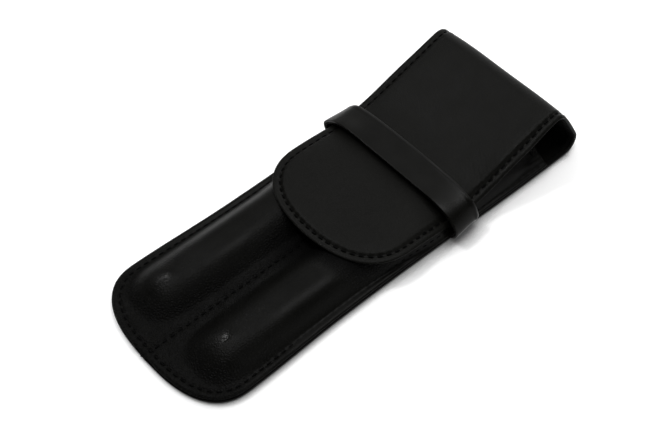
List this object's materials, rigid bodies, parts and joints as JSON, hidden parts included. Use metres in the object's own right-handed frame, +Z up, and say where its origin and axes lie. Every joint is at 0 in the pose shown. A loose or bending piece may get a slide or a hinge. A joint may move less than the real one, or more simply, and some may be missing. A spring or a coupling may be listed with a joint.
{
  "type": "two-channel fountain pen case",
  "caption": "Black leather pouch for two pens with moulded channels, a fold-over flap with a round tip and a strap that holds the flap down.",
  "frame": {"origin": "centre of the bounding box's bottom face, on the back leather's outer face", "axes": "+X across the case to the side that lies to the right with the flap up, +Y from the round bottom end to the fold, +Z up from the back towards the flap"},
  "size_m": [0.0692, 0.1774, 0.0231],
  "materials": {
    "black_leather": "satin",
    "moulded_leather": "semi-gloss",
    "lining_leather": "matte",
    "black_thread": "matte"
  },
  "bodies": {
    "pouch": {"back_leather": "black_leather", "back_lining": "lining_leather", "front_leather": "moulded_leather", "front_lining": "lining_leather", "edge_seam_thread": "black_thread", "centre_seam_thread": "black_thread", "mouth_seam_thread": "black_thread", "strap_leather": "black_leather", "strap_lining": "lining_leather"},
    "fold_lower": {"fold_leather_lower": "black_leather", "fold_lining_lower": "lining_leather", "fold_thread_lower": "black_thread"},
    "fold_middle": {"fold_leather_middle": "black_leather", "fold_lining_middle": "lining_leather", "fold_thread_middle": "black_thread"},
    "fold_upper": {"fold_leather_upper": "black_leather", "fold_lining_upper": "lining_leather", "fold_thread_upper": "black_thread"},
    "flap": {"flap_leather": "black_leather", "flap_lining": "lining_leather", "flap_seam_thread": "black_thread"}
  },
  "joints": [
    {"name": "fold_lower_bend", "type": "hinge", "parent": "pouch", "child": "fold_lower", "pos_m": [0, 0.08507, 0.00047], "axis": [-1, 0, 0], "range_deg": [0, 44], "deforming": ["strap_leather", "strap_lining"]},
    {"name": "fold_middle_bend", "type": "hinge", "parent": "fold_lower", "child": "fold_middle", "pos_m": [0, 0.0881, 0.00389], "axis": [-1, 0, 0], "range_deg": [0, 44]},
    {"name": "fold_upper_bend", "type": "hinge", "parent": "fold_middle", "child": "fold_upper", "pos_m": [0, 0.08119, 0.02028], "axis": [-1, 0, 0], "range_deg": [0, 44]},
    {"name": "flap_bend", "type": "hinge", "parent": "fold_upper", "child": "flap", "pos_m": [0, 0.07704, 0.02303], "axis": [-1, 0, 0], "range_deg": [0, 44]}
  ],
  "couplings": [
    {"joint": "fold_middle_bend", "follows": "fold_lower_bend", "ratio": 1},
    {"joint": "fold_upper_bend", "follows": "fold_lower_bend", "ratio": 1},
    {"joint": "flap_bend", "follows": "fold_lower_bend", "ratio": 1}
  ]
}
